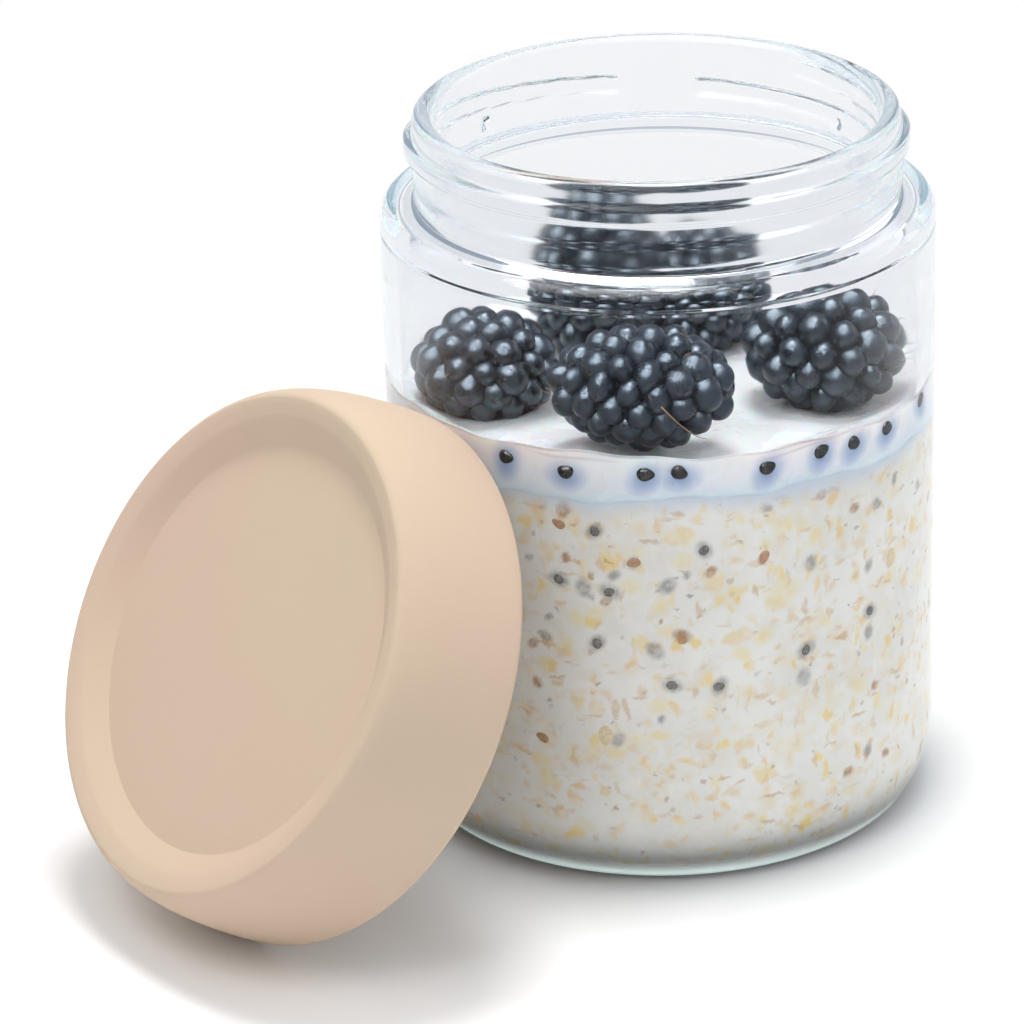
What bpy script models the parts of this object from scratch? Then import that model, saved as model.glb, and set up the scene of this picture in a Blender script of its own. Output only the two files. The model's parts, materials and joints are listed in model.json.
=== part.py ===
"""Overnight oats jar: a glass jar of oats, yogurt and blackberries, its screw lid leaning on its wall.

Lengths are in metres and angles in degrees. The jar and the lid stand on the plane z = 0. The lid leans
towards +X, and bearings are turned anticlockwise from +X, seen from above.
"""

import math
import random

import bmesh
import bpy
from mathutils import Matrix, Vector

# Steps around every turned shape, a multiple of the number of threads.
TURN_STEPS = 48

# Glass jar.
body_radius = 0.0430
body_wall = 0.0026
base_thickness = 0.0030
heel_width = 0.0064
heel_height = 0.0140
inner_heel_width = 0.0054
foot_width = 0.0020
push_up = 0.0014
shoulder_height = 0.0990
shoulder_corner = 0.0021
shoulder_thickness = 0.0040
shoulder_fillet = 0.0013
inner_shoulder_corner = 0.0025
neck_edge = 0.0013
shoulder_width = 0.0054
neck_wall = 0.0033
rim_height = 0.1134
lip_rounding = 0.0012

# Screw finish on the neck: interrupted threads above a transfer bead.
THREAD_STARTS = 3
thread_depth = 0.0041
thread_height = 0.0014
thread_upper_width = 0.0030
thread_lower_width = 0.0043
thread_drop = 0.0014
thread_gap_bearing = 52.5
thread_gap_half = 3.0
thread_taper = 9.0
bead_depth = 0.0117
bead_height = 0.0009
bead_half_width = 0.0022
NECK_ROWS = 11

# Lid, in its own frame: its open rim is at z = 0 and its face looks along +Z.
lid_depth = 0.0222
lid_side_bulge = 0.0035
lid_wall = 0.0027
lid_edge = 0.0022
lid_crest_rounding = 0.0020
lid_band_width = 0.0068
disc_sink = 0.0033
disc_crease = 0.0006
panel_thickness = 0.0026
lid_thread_clearance = 0.0004
lug_height = 0.0012
lug_half_width = 0.0020
lug_span = 22.0
lug_clearance = 0.0034
LUG_ROWS = 7
rib_height = 0.0012
rib_width = 0.0010
inner_chamfer = 0.0005

# Silicone seal in the lid.
seal_thickness = 0.0022
seal_width = 0.0051
seal_lug_clearance = 0.0003
seal_chamfer = 0.0004

# How the lid leans on the jar.
lid_lean = 29.8
lid_side_shift = -0.0027
touch_gap = 0.0003
pivot_inset = 0.0040

# Contents.
fit_gap = 0.0003
oats_height = 0.0645
yogurt_thickness = 0.0070
yogurt_lip_width = 0.0012
yogurt_lip_height = 0.0004
yogurt_wave = 0.0007
yogurt_wave_length = 0.0300
YOGURT_RINGS = 7

# Blackberries. Their drupelets' depths are shares of a berry's radius.
DRUPELETS = 48
drupelet_valley = 0.13
drupelet_shoulder = 0.035
drupelet_inset = 0.36
drupelet_merge = 0.02
drupelet_unevenness = 0.12
berry_wall_gap = 0.0005
berry_gap = 0.0003
berry_seat_gap = 0.0003
# Radii along each berry, across it and upwards, and how deep it sinks in the yogurt.
front_berry = {"length": 0.0145, "width": 0.0095, "rise": 0.0099, "sink": 0.0029}
left_berry = {"length": 0.0117, "width": 0.0101, "rise": 0.0084, "sink": 0.0040}
right_berry = {"length": 0.0129, "width": 0.0106, "rise": 0.0088, "sink": 0.0032}
tall_berry = {"length": 0.0094, "width": 0.0094, "rise": 0.0137, "sink": 0.0028}
back_berry = {"length": 0.0104, "width": 0.0095, "rise": 0.0101, "sink": 0.0030}
front_bearing = 229.2
left_bearing = 166.1
right_bearing = 303.1
tall_bearing = 99.6
tall_distance = 0.0174
back_heading = -22.2

# Seeds and flakes that show against the glass.
chia_length = 0.0022
chia_width = 0.0016
chia_thickness = 0.0012
flax_length = 0.0032
flax_width = 0.0018
flax_thickness = 0.0010
flake_length = 0.0052
flake_width = 0.0038
flake_thickness = 0.0007
flake_spacing = 0.0085
pocket_gap = 0.0003
# Bearings of the chia seeds in the yogurt, and how far they lie below its edge.
yogurt_seed_depth = 0.0024
yogurt_seed_scatter = 0.0004
YOGURT_SEEDS = (200, 214, 231, 238, 257, 270, 279, 290, 306, 345, 47, 84, 140)
# Bearing, and height as a share of the oats, of the seeds that show in the oats.
OATS_SEEDS = ((220, 0.92), (212, 0.78), (223, 0.76), (243, 0.87), (220, 0.62), (236, 0.51), (246, 0.50),
              (266, 0.56), (284, 0.60), (20, 0.66), (120, 0.55))
FLAX_SEEDS = ((212, 0.93), (228, 0.84), (256, 0.83), (238, 0.64), (207, 0.34))
FLAKES = 12

# Values worked out from the sizes above.
inner_radius = body_radius - body_wall
neck_radius = body_radius - shoulder_width
glass_flat_radius = inner_radius * math.cos(math.pi / TURN_STEPS)
neck_inner_radius = neck_radius - neck_wall
shoulder_underside = shoulder_height - shoulder_thickness
thread_radius = neck_radius + thread_height
lid_inner_radius = thread_radius + lid_thread_clearance
lid_radius = lid_inner_radius + lid_wall
lid_crest_radius = lid_radius - lid_side_bulge
disc_radius = lid_crest_radius - lid_band_width
disc_height = lid_depth - disc_sink
lid_ceiling = disc_height - panel_thickness
lug_radius = lid_inner_radius - lug_height
seal_outer_radius = lug_radius - seal_lug_clearance
seal_inner_radius = seal_outer_radius - seal_width
seal_top = lid_ceiling - fit_gap
seal_bottom = seal_top - seal_thickness
rib_outer_radius = seal_inner_radius - fit_gap
# With the lid screwed on, the seal lies on the rim and each lug hooks under a thread.
closed_rim_height = rim_height - seal_bottom
lug_level = rim_height - thread_depth - lug_clearance - closed_rim_height
yogurt_height = oats_height + yogurt_thickness
lean = math.radians(lid_lean)

# Height of the open rim's centre, and its distance from the jar's axis, as the rounded edge rests.
lid_centre_height = (lid_radius - lid_edge) * math.cos(lean) + lid_edge * (1 - math.sin(lean))
lid_edge_reach = (lid_radius - lid_edge) * math.sin(lean) + lid_edge * (1 - math.cos(lean))
touch_radius = body_radius + touch_gap
lid_centre_distance = lid_edge_reach + math.sqrt(touch_radius ** 2 - lid_side_shift ** 2)

# The lid tips over about an axis in its lower edge, level with where its face would lie on the ground.
pivot_radius = lid_radius - pivot_inset
pivot_rise = (lid_depth - lid_centre_height + pivot_radius * math.cos(lean)) / (1 + math.sin(lean))
pivot_height = lid_depth - pivot_rise
pivot_distance = (lid_centre_distance + pivot_rise * math.cos(lean) + pivot_radius * math.sin(lean))

# The middle of the whole object's outline on the ground is the origin.
lid_far_reach = lid_centre_distance + lid_depth * math.cos(lean) + lid_crest_radius * math.sin(lean)
lid_side_reach = lid_radius + abs(lid_side_shift)
jar_x = (lid_far_reach - body_radius) / 2
jar_y = -math.copysign(max(0.0, lid_side_reach - body_radius) / 2, lid_side_shift)


def clear_scene():
    for thing in list(bpy.data.objects):
        bpy.data.objects.remove(thing, do_unlink=True)


def new_collection(name, parent):
    collection = bpy.data.collections.new(name)
    parent.children.link(collection)
    return collection


def new_material(name, colour, roughness, transmission=0.0):
    material = bpy.data.materials.new(name)
    material.use_nodes = True
    shader = material.node_tree.nodes["Principled BSDF"]
    shader.inputs["Base Color"].default_value = (*colour, 1.0)
    shader.inputs["Roughness"].default_value = roughness
    shader.inputs["Metallic"].default_value = 0.0
    shader.inputs["Transmission Weight"].default_value = transmission
    return material


def new_object(name, mesh, collection, parent=None, material=None):
    item = bpy.data.objects.new(name, mesh)
    collection.objects.link(item)
    if parent is not None:
        item.parent = parent
    if material is not None:
        mesh.materials.append(material)
    return item


def new_empty(name, place, collection):
    empty = bpy.data.objects.new(name, None)
    empty.location = place
    collection.objects.link(empty)
    return empty


def smooth(item, angle=35.0):
    item.data.shade_smooth()
    item.data.set_sharp_from_angle(angle=math.radians(angle))


def arc(centre_r, centre_z, radius_r, radius_z, start, end, steps):
    """Points on an elliptic arc in the (radius, height) plane."""
    points = []
    for step in range(steps + 1):
        angle = math.radians(start + (end - start) * step / steps)
        points.append((centre_r + radius_r * math.cos(angle), centre_z + radius_z * math.sin(angle)))
    return points


def turned(name, profile, collection, parent, material):
    """Body of revolution about +Z. The profile's outer side runs from top to bottom."""
    mesh = bpy.data.meshes.new(name)
    points = [(radius, 0.0, height) for radius, height in profile]
    edges = [(index, index + 1) for index in range(len(points) - 1)]
    mesh.from_pydata(points, edges, [])
    item = new_object(name, mesh, collection, parent, material)
    screw = item.modifiers.new("Turn", "SCREW")
    screw.steps = TURN_STEPS
    screw.render_steps = TURN_STEPS
    screw.use_merge_vertices = True
    screw.merge_threshold = 0.00001
    return item


def bake(item):
    """Replaces the object's mesh by what its modifiers make of it."""
    graph = bpy.context.evaluated_depsgraph_get()
    mesh = bpy.data.meshes.new_from_object(item.evaluated_get(graph))
    old_mesh = item.data
    item.modifiers.clear()
    item.data = mesh
    mesh.name = old_mesh.name
    bpy.data.meshes.remove(old_mesh)


def bump(offset, half_width):
    """Rounded rise that is 1 at its middle and 0 at half_width from it."""
    if abs(offset) >= half_width:
        return 0.0
    return math.cos(math.pi / 2 * offset / half_width) ** 2


def thread_share(bearing):
    """How far along its own span a bearing lies on one thread, from its low end to its high end."""
    span = 360.0 / THREAD_STARTS
    return ((bearing - thread_gap_bearing) % span) / span


def thread_swell(bearing):
    """Thread's share of its full height: 1 along it and 0 in the gap between two threads."""
    span = 360.0 / THREAD_STARTS
    along = thread_share(bearing) * span
    from_gap = min(along, span - along) - thread_gap_half
    return min(1.0, max(0.0, from_gap / thread_taper))


def neck_swell(bearing, height):
    """How far the threads and the transfer bead stand out from the neck."""
    crest = rim_height - thread_depth + thread_drop * (thread_share(bearing) - 0.5)
    offset = height - crest
    half_width = thread_upper_width if offset > 0 else thread_lower_width
    thread = thread_height * thread_swell(bearing) * bump(offset, half_width)
    bead = bead_height * bump(height - (rim_height - bead_depth), bead_half_width)
    return max(thread, bead)


def heel_inside(gap):
    """Curve from the jar's inner floor up to its inner wall, drawn in by a gap."""
    return arc(inner_radius - inner_heel_width, heel_height, inner_heel_width - gap,
               heel_height - base_thickness - gap, -90, 0, 5)


def jar_profile():
    profile = [(0.0, base_thickness)]
    profile += heel_inside(0.0)
    profile += arc(inner_radius - inner_shoulder_corner, shoulder_underside - inner_shoulder_corner,
                   inner_shoulder_corner, inner_shoulder_corner, 0, 90, 3)
    profile += arc(neck_inner_radius + neck_edge, shoulder_underside + neck_edge,
                   neck_edge, neck_edge, 270, 180, 2)
    profile += arc(neck_inner_radius + lip_rounding, rim_height - lip_rounding,
                   lip_rounding, lip_rounding, 180, 90, 3)
    profile += arc(neck_radius - lip_rounding, rim_height - lip_rounding,
                   lip_rounding, lip_rounding, 90, 0, 3)
    neck_top = rim_height - lip_rounding
    neck_foot = shoulder_height + shoulder_fillet
    for row in range(1, NECK_ROWS):
        profile.append((neck_radius, neck_top + (neck_foot - neck_top) * row / NECK_ROWS))
    profile += arc(neck_radius + shoulder_fillet, neck_foot, shoulder_fillet, shoulder_fillet, 180, 270, 2)
    profile += arc(body_radius - shoulder_corner, shoulder_height - shoulder_corner,
                   shoulder_corner, shoulder_corner, 90, 0, 4)
    profile += arc(body_radius - heel_width, heel_height, heel_width, heel_height, 0, -90, 6)
    foot_inner = body_radius - heel_width - foot_width
    profile.append((foot_inner, 0.0))
    profile.append((foot_inner - 2 * push_up, push_up))
    profile.append((0.0, push_up))
    return profile


def make_jar(collection, centre):
    material = new_material("clear_glass", (0.86, 0.93, 0.93), 0.03, transmission=1.0)
    jar = turned("glass_jar", jar_profile(), collection, centre, material)
    bake(jar)
    neck_top = rim_height - lip_rounding / 2
    for vertex in jar.data.vertices:
        place = vertex.co
        radius = math.hypot(place.x, place.y)
        on_neck = shoulder_height < place.z < neck_top and radius > neck_radius - lip_rounding / 2
        if on_neck:
            bearing = math.degrees(math.atan2(place.y, place.x))
            swell = neck_swell(bearing, place.z)
            place.x *= 1 + swell / radius
            place.y *= 1 + swell / radius
    smooth(jar)
    return jar


def lid_profile():
    crest_inner = lid_crest_radius - lid_crest_rounding / 2
    profile = [(0.0, disc_height), (disc_radius - disc_crease, disc_height)]
    profile.append((disc_radius + disc_crease, disc_height + disc_crease))
    profile += arc(crest_inner, lid_depth - lid_crest_rounding, lid_crest_rounding, lid_crest_rounding,
                   145, 90, 2)
    profile += arc(lid_crest_radius, lid_edge, lid_side_bulge, lid_depth - lid_edge, 82, 0, 7)
    profile += arc(lid_radius - lid_edge, lid_edge, lid_edge, lid_edge, -30, -90, 2)
    profile.append((lid_inner_radius + inner_chamfer, 0.0))
    profile.append((lid_inner_radius, inner_chamfer))
    low = lug_level - lug_half_width
    high = lug_level + lug_half_width
    for row in range(LUG_ROWS):
        profile.append((lid_inner_radius, low + (high - low) * row / (LUG_ROWS - 1)))
    profile.append((lid_inner_radius, lid_ceiling))
    profile.append((rib_outer_radius, lid_ceiling))
    profile.append((rib_outer_radius, lid_ceiling - rib_height))
    profile.append((rib_outer_radius - rib_width, lid_ceiling - rib_height))
    profile.append((rib_outer_radius - rib_width, lid_ceiling))
    profile.append((0.0, lid_ceiling))
    return profile


def lug_swell(bearing, height):
    """How far the lid's lugs stand in from its inner wall. Each lug hooks under one thread."""
    span = 360.0 / THREAD_STARTS
    off_middle = abs((bearing + span / 2) % span - span / 2)
    along = min(1.0, max(0.0, (lug_span / 2 - off_middle) / (lug_span / 4)))
    return lug_height * along * bump(height - lug_level, lug_half_width)


def make_lid(collection, hinge):
    material = new_material("matte_beige", (0.74, 0.62, 0.51), 0.62)
    lid = turned("lid", lid_profile(), collection, hinge, material)
    bake(lid)
    for vertex in lid.data.vertices:
        place = vertex.co
        radius = math.hypot(place.x, place.y)
        if abs(radius - lid_inner_radius) < inner_chamfer / 2 and place.z < lid_ceiling - rib_height:
            bearing = math.degrees(math.atan2(place.y, place.x))
            swell = lug_swell(bearing, place.z)
            place.x *= 1 - swell / radius
            place.y *= 1 - swell / radius
    smooth(lid)
    stand_lid(lid)
    return lid


def stand_lid(item):
    """Turns a lid piece from its own frame to where the lid leans, measured from the pivot."""
    item.rotation_euler = (0.0, lean - math.pi / 2, 0.0)
    item.location = (pivot_distance - lid_centre_distance, 0.0, lid_centre_height - pivot_height)


def make_seal(collection, hinge):
    inner, outer, low, high, cut = seal_inner_radius, seal_outer_radius, seal_bottom, seal_top, seal_chamfer
    profile = [(inner + cut, high), (outer - cut, high), (outer, high - cut), (outer, low + cut),
               (outer - cut, low), (inner + cut, low), (inner, low + cut), (inner, high - cut),
               (inner + cut, high)]
    material = new_material("white_silicone", (0.86, 0.86, 0.84), 0.55)
    seal = turned("lid_seal", profile, collection, hinge, material)
    smooth(seal)
    stand_lid(seal)
    return seal


def around(angle, distance, height):
    """Point at an angle and a distance from the vertical axis."""
    return Vector((distance * math.cos(angle), distance * math.sin(angle), height))


def support(berry, turn):
    """Reach of a berry's ellipse of length and width along a direction turned from its length."""
    return math.hypot(berry["length"] * math.cos(turn), berry["width"] * math.sin(turn))


def berry_places():
    """Centre and heading of each berry, in the jar's frame."""
    places = {}
    sideways = math.radians(90)
    reach = inner_radius - berry_wall_gap
    # Three berries lie against the glass with their length along the front of the jar.
    front_heading = math.radians(front_bearing) - sideways
    against_glass = (("front", front_berry, front_bearing), ("left", left_berry, left_bearing),
                     ("right", right_berry, right_bearing))
    for key, berry, bearing in against_glass:
        angle = math.radians(bearing)
        distance = reach - room_to_wall(berry, angle - front_heading, reach)
        places[key] = (berry, around(angle, distance, lift(berry)), front_heading)
    tall_centre = around(math.radians(tall_bearing), tall_distance, lift(tall_berry))
    places["tall"] = (tall_berry, tall_centre, front_heading)
    # The berry at the back lies close beside the tall one.
    towards = math.radians(back_heading)
    apart = support(tall_berry, towards - front_heading) + support(back_berry, 0.0) + berry_gap
    back_centre = tall_centre + around(towards, apart, 0.0)
    back_centre.z = lift(back_berry)
    places["back"] = (back_berry, back_centre, towards)
    return places


def lift(berry):
    """Height of a berry's middle."""
    return yogurt_height - berry["sink"] + berry["rise"]


def room_to_wall(berry, turn, wall_radius):
    """Least distance from a berry's centre out to a round wall, found by trying its outline."""
    room = 0.0
    for step in range(72):
        angle = math.radians(5 * step)
        along = berry["length"] * math.cos(angle)
        across = berry["width"] * math.sin(angle)
        outward = along * math.cos(turn) + across * math.sin(turn)
        sideways = across * math.cos(turn) - along * math.sin(turn)
        needed = wall_radius - math.sqrt(max(0.0, wall_radius ** 2 - sideways ** 2)) + outward
        room = max(room, needed)
    return room


def drupelet_ball(name, seed):
    """Unit ball of domes: an even pattern of points gives one cell each, and each cell swells."""
    chance = random.Random(seed)
    hull = bmesh.new()
    golden = math.pi * (3 - math.sqrt(5))
    for index in range(DRUPELETS):
        height = 1 - 2 * (index + 0.5) / DRUPELETS
        ring = math.sqrt(1 - height * height)
        angle = golden * index + chance.uniform(-drupelet_unevenness, drupelet_unevenness)
        hull.verts.new(Vector((ring * math.cos(angle), ring * math.sin(angle), height)).normalized())
    bmesh.ops.convex_hull(hull, input=hull.verts[:])
    hull.normal_update()
    hull.faces.index_update()
    balls = bmesh.new()
    corners = []
    for face in hull.faces:
        corners.append(balls.verts.new(face.normal * (1 - drupelet_valley)))
    for vertex in hull.verts:
        axis = vertex.co.normalized()
        side = axis.orthogonal().normalized()
        ahead = axis.cross(side)
        turns = {}
        for face in vertex.link_faces:
            turns[face.index] = math.atan2(face.normal.dot(ahead), face.normal.dot(side))
        outer = [corners[index] for index in sorted(turns, key=turns.get)]
        dome = [corner.co.normalized().lerp(axis, drupelet_inset).normalized() for corner in outer]
        inner = [balls.verts.new(spot * (1 - drupelet_shoulder)) for spot in dome]
        top = balls.verts.new(axis)
        for index in range(len(outer)):
            after = (index + 1) % len(outer)
            balls.faces.new((outer[index], outer[after], inner[after], inner[index]))
            balls.faces.new((inner[index], inner[after], top))
    bmesh.ops.remove_doubles(balls, verts=balls.verts[:], dist=drupelet_merge)
    mesh = bpy.data.meshes.new(name)
    balls.to_mesh(mesh)
    balls.free()
    hull.free()
    return mesh


def make_berry(name, berry, centre, heading, seed, collection, parent):
    material = new_material(name + "_skin", (0.018, 0.017, 0.030), 0.32)
    mesh = drupelet_ball(name, seed)
    mesh.transform(Matrix.Diagonal((berry["length"], berry["width"], berry["rise"], 1.0)))
    item = new_object(name, mesh, collection, parent, material)
    item.location = centre
    item.rotation_euler = (0.0, 0.0, heading)
    mesh.shade_smooth()
    return item


def hollow_for_berry(name, berry, centre, heading, collection, parent):
    """Smooth cutter that leaves a berry its seat in the yogurt."""
    segments, rings = 16, 10
    # A faceted ball falls short of its radius between its corners.
    spare = berry["length"] * (1 - math.cos(math.pi / segments))
    bowl = bmesh.new()
    bmesh.ops.create_uvsphere(bowl, u_segments=segments, v_segments=rings, radius=1.0)
    mesh = bpy.data.meshes.new(name)
    bowl.to_mesh(mesh)
    bowl.free()
    sizes = [berry[key] + berry_seat_gap + spare for key in ("length", "width", "rise")]
    mesh.transform(Matrix.Diagonal((*sizes, 1.0)))
    item = new_object(name, mesh, collection, parent)
    item.location = centre
    item.rotation_euler = (0.0, 0.0, heading)
    hide_cutter(item)
    return item


def hide_cutter(item):
    item.hide_render = True
    item.display_type = "WIRE"


def cut_by(item, cutters):
    """Cuts an object by every cutter of a collection."""
    boolean = item.modifiers.new("Seats", "BOOLEAN")
    boolean.operation = "DIFFERENCE"
    boolean.solver = "EXACT"
    boolean.operand_type = "COLLECTION"
    boolean.collection = cutters


def grain_mesh(name, kind, size):
    """Mesh of one seed or one flat flake, its length along X and its thickness along Z."""
    grain = bmesh.new()
    if kind == "seed":
        bmesh.ops.create_uvsphere(grain, u_segments=6, v_segments=4, radius=0.5)
    else:
        bmesh.ops.create_cone(grain, cap_ends=True, segments=8, radius1=0.5, radius2=0.5, depth=1.0)
    mesh = bpy.data.meshes.new(name)
    grain.to_mesh(mesh)
    grain.free()
    mesh.transform(Matrix.Diagonal((*size, 1.0)))
    return mesh


def put_at_glass(item, bearing, height, thickness, turn):
    """Lays a grain against the inside of the glass, with its Z axis outwards."""
    angle = math.radians(bearing)
    depth = glass_flat_radius - fit_gap - thickness / 2
    upright = Matrix.Rotation(angle, 4, "Z") @ Matrix.Rotation(math.radians(90), 4, "Y")
    item.location = around(angle, depth, height)
    item.rotation_euler = (upright @ Matrix.Rotation(math.radians(turn), 4, "Z")).to_euler()


def make_grains(name, kind, size, spots, colour, collection, pockets, parent):
    """Makes grains that share one mesh, and the cutters of their pockets."""
    material = new_material(name + "_skin", colour, 0.45)
    mesh = grain_mesh(name, kind, size)
    mesh.materials.append(material)
    mesh.shade_smooth()
    mesh.set_sharp_from_angle(angle=math.radians(50))
    pocket_mesh = grain_mesh(name + "_pocket", kind, [value + 2 * pocket_gap for value in size])
    for number, (bearing, height, turn) in enumerate(spots, start=1):
        grain = new_object(f"{name}_{number:02d}", mesh, collection, parent)
        put_at_glass(grain, bearing, height, size[2], turn)
        pocket = new_object(f"{name}_pocket_{number:02d}", pocket_mesh, pockets, parent)
        put_at_glass(pocket, bearing, height, size[2], turn)
        hide_cutter(pocket)


def oats_level(share):
    return base_thickness + share * (oats_height - base_thickness)


def yogurt_seed_spots():
    """Chia seeds lie a little below the yogurt's edge, at slightly uneven heights."""
    spots = []
    for index, bearing in enumerate(YOGURT_SEEDS):
        height = yogurt_height - yogurt_seed_depth + yogurt_seed_scatter * math.cos(2.4 * index)
        spots.append((bearing, height, 90 + 25 * math.sin(1.7 * index)))
    return spots


def oats_seed_spots(shares, first_turn):
    spots = []
    for index, (bearing, share) in enumerate(shares):
        spots.append((bearing, oats_level(share), first_turn + 47 * index))
    return spots


def flake_spots(taken):
    """Flakes lie where they keep clear of the seeds and of each other."""
    chance = random.Random(11)
    clear_of = [(bearing, height) for bearing, height, _ in taken]
    low = heel_height + flake_length
    high = oats_height - flake_length
    spots = []
    for _ in range(4000):
        bearing = chance.uniform(0, 360)
        height = chance.uniform(low, high)
        near = False
        for other_bearing, other_height in clear_of:
            turn = math.radians((bearing - other_bearing + 180) % 360 - 180)
            near = near or math.hypot(turn * inner_radius, height - other_height) < flake_spacing
        if not near:
            clear_of.append((bearing, height))
            spots.append((bearing, height, chance.uniform(0, 180)))
        if len(spots) == FLAKES:
            break
    return spots


def make_oats(collection, centre):
    edge = inner_radius - fit_gap
    profile = [(0.0, oats_height), (edge, oats_height)]
    profile += list(reversed(heel_inside(fit_gap)))
    profile.append((0.0, base_thickness + fit_gap))
    material = new_material("soaked_oats", (0.80, 0.77, 0.70), 0.5)
    oats = turned("oats", profile, collection, centre, material)
    smooth(oats)
    return oats


def make_yogurt(collection, centre):
    edge = inner_radius - fit_gap
    floor = oats_height + fit_gap
    # The surface meets the glass in a low lip, and its last ring stays level.
    inner_edge = edge - yogurt_lip_width
    profile = [(inner_edge * ring / YOGURT_RINGS, yogurt_height) for ring in range(YOGURT_RINGS + 1)]
    profile += [(edge, yogurt_height + yogurt_lip_height), (edge, floor), (0.0, floor)]
    material = new_material("plain_yogurt", (0.93, 0.93, 0.92), 0.25)
    yogurt = turned("yogurt", profile, collection, centre, material)
    bake(yogurt)
    for vertex in yogurt.data.vertices:
        place = vertex.co
        radius = math.hypot(place.x, place.y)
        if place.z > floor + fit_gap and radius < inner_edge - fit_gap:
            fade = 1 - (radius / inner_edge) ** 4
            across = 2 * math.pi * place.x / yogurt_wave_length
            along = 2 * math.pi * place.y / yogurt_wave_length
            place.z += yogurt_wave * fade * (math.sin(across + 1) + math.cos(along))
    smooth(yogurt, 45.0)
    return yogurt


def main():
    clear_scene()
    parts = new_collection("overnight_oats_jar", bpy.context.scene.collection)
    cutters = new_collection("cutters", bpy.context.scene.collection)
    yogurt_cutters = new_collection("yogurt_cutters", cutters)
    oats_cutters = new_collection("oats_cutters", cutters)
    centre = new_empty("jar_centre", (jar_x, jar_y, 0.0), parts)
    hinge_place = (jar_x - pivot_distance, jar_y + lid_side_shift, pivot_height)
    hinge = new_empty("lid_pivot", hinge_place, parts)

    make_jar(parts, centre)
    make_lid(parts, hinge)
    make_seal(parts, hinge)
    oats = make_oats(parts, centre)
    yogurt = make_yogurt(parts, centre)

    for seed, (key, (berry, spot, heading)) in enumerate(berry_places().items(), start=3):
        make_berry("berry_" + key, berry, spot, heading, seed, parts, centre)
        hollow_for_berry("seat_" + key, berry, spot, heading, yogurt_cutters, centre)

    chia = (chia_length, chia_width, chia_thickness)
    flax = (flax_length, flax_width, flax_thickness)
    flake = (flake_length, flake_width, flake_thickness)
    chia_spots = oats_seed_spots(OATS_SEEDS, 20)
    flax_spots = oats_seed_spots(FLAX_SEEDS, 65)
    flakes = flake_spots(chia_spots + flax_spots)
    dark, grey, brown, tan = (0.03, 0.03, 0.03), (0.11, 0.10, 0.10), (0.30, 0.15, 0.06), (0.78, 0.62, 0.36)
    make_grains("yogurt_chia_seed", "seed", chia, yogurt_seed_spots(), dark, parts, yogurt_cutters, centre)
    make_grains("oats_chia_seed", "seed", chia, chia_spots, grey, parts, oats_cutters, centre)
    make_grains("flax_seed", "seed", flax, flax_spots, brown, parts, oats_cutters, centre)
    make_grains("oat_flake", "flake", flake, flakes, tan, parts, oats_cutters, centre)
    cut_by(yogurt, yogurt_cutters)
    cut_by(oats, oats_cutters)


main()
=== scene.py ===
"""Looks of the overnight oats jar, built around its fixed CAD frame. Lengths are in metres."""

import json
import random
from math import atan2, ceil, cos, degrees, hypot, pi, radians, sin, sqrt, tan

import bmesh
import bpy
import numpy as np
from mathutils import Matrix, Vector

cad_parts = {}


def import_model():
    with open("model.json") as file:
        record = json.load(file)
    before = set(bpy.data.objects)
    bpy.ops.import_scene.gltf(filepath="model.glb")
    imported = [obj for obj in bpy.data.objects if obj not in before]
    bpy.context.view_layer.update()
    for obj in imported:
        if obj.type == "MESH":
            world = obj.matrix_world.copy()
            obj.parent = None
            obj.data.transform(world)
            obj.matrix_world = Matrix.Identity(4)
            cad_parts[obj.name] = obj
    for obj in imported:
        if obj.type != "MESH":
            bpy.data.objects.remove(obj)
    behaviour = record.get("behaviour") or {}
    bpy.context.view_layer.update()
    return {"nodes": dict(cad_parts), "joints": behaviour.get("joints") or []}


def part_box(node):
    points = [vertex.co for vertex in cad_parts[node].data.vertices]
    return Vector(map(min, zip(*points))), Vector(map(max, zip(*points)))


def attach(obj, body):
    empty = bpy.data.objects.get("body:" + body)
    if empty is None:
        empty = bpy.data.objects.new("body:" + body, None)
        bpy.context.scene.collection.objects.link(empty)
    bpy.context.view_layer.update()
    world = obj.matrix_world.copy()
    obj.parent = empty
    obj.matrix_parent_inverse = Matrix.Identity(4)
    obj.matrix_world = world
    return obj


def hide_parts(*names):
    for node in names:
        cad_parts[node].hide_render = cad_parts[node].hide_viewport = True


# Camera, measured from the jar's axis on the ground.
CAMERA_BEARING = radians(-125.83)
CAMERA_DISTANCE = 0.7453
CAMERA_HEIGHT = 0.3617
CAMERA_PITCH = radians(22.953)
CAMERA_ROLL = radians(1.513)
CAMERA_YAW = radians(-1.822)
FOCAL_LENGTH = 179.32
SENSOR_WIDTH = 36.0

# Softboxes: place, size and radiance.
LAMPS = {
    "overhead_softbox": ((0.045, 0.06, 0.76), 0.2, 23.0),
    "front_softbox": ((0.1, -0.45, 0.6), 0.4, 0.8),
    "left_softbox": ((-0.42, -0.18, 0.7), 0.3, 4.2),
    "right_softbox": ((0.7, -0.16, 0.38), 0.5, 1.3),
    "sheen_softbox": ((-0.24, -0.1, 0.62), 0.75, 11.0),
}
LAMP_TARGET = (0.0, 0.0, 0.05)
# The softbox that lights gloss alone, for the highlights on the drupelets.
GLOSS_LAMP = "sheen_softbox"
# Scattered light from the sides and from above.
AMBIENT_LIGHT = (0.38, 0.72)
AMBIENT_COLOUR = (0.98, 0.985, 1.0, 1)
# The backdrop: where it fades upwards into the dim room, and how much less it does so seen through glass.
BACKDROP_FADE = (0.05, 0.45)
DIM_ROOM = (0.36, 0.41, 0.48, 1)
GLASS_BACKDROP = 0.65
GLANCE_DIMMING = 0.6
# The floor, and how far from its middle it fades to white.
FLOOR_SIZE = 6.0
FLOOR_FADE = (0.08, 0.26)

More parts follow.
